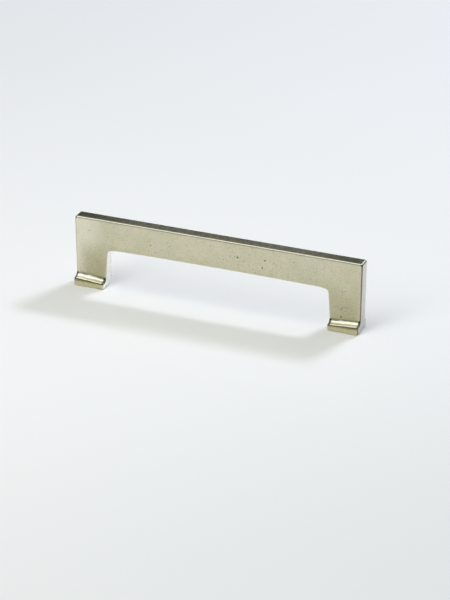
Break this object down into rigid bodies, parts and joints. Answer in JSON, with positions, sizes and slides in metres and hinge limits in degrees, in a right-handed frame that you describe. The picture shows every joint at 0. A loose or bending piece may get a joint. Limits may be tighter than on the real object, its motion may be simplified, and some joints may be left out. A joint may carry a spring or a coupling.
{
  "type": "bridge pull handle",
  "caption": "Bridge pull handle cast in one piece: a flat bar on tapering legs with stepped feet, tapped from below for screws through a door or drawer front.",
  "frame": {"origin": "on the mounting plane, midway between the two screw holes", "axes": "+X along the bar, +Y towards the back face of the bar, +Z away from the door or drawer front"},
  "size_m": [0.1436, 0.011, 0.0346],
  "materials": {
    "nickel_bronze": "satin"
  },
  "bodies": {
    "root": {"handle": "nickel_bronze"}
  },
  "joints": []
}
